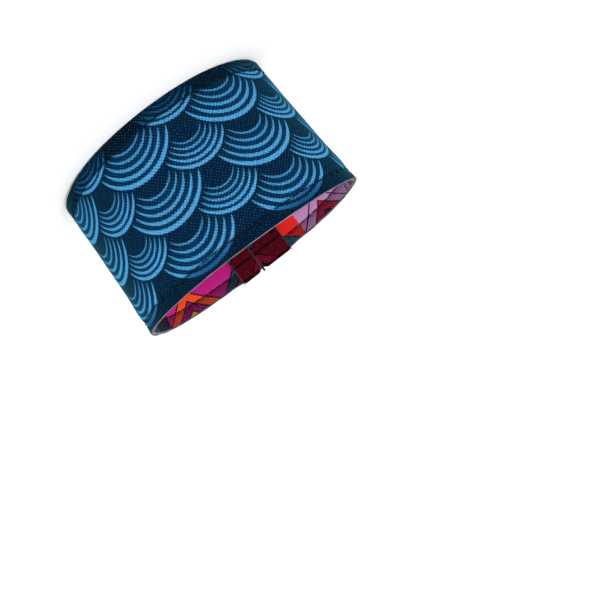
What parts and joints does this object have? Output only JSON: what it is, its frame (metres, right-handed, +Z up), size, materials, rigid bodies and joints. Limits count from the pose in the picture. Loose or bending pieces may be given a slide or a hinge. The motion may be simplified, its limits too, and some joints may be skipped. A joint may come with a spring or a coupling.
{
  "type": "reversible fabric cuff bracelet",
  "caption": "Wide soft cuff of printed fabrics sewn back to back, blue wave scales outside and a bright print inside, closed by a mirror-polished metal clasp.",
  "frame": {"origin": "Centre of the base: halfway across the loop both ways, on the table that the band's lower edge and the clasp stand on.", "axes": "+Z up along the wrist, through the loop. +X across the loop's longer way, to the right seen from the front. -Y is the front, opposite the clasp."},
  "size_m": [0.066, 0.05, 0.0433],
  "materials": {
    "wave_print_fabric": "fine plain weave with a slight sheen, printed with blue wave scales",
    "bright_print_fabric": "fine plain weave with a slight sheen, printed in many bright colours",
    "polished_metal": "mirror-polished bright metal"
  },
  "bodies": {
    "root": {"outer_fabric": "wave_print_fabric", "inner_fabric": "bright_print_fabric", "clasp_half_left": "polished_metal", "clasp_half_right": "polished_metal"}
  },
  "joints": []
}
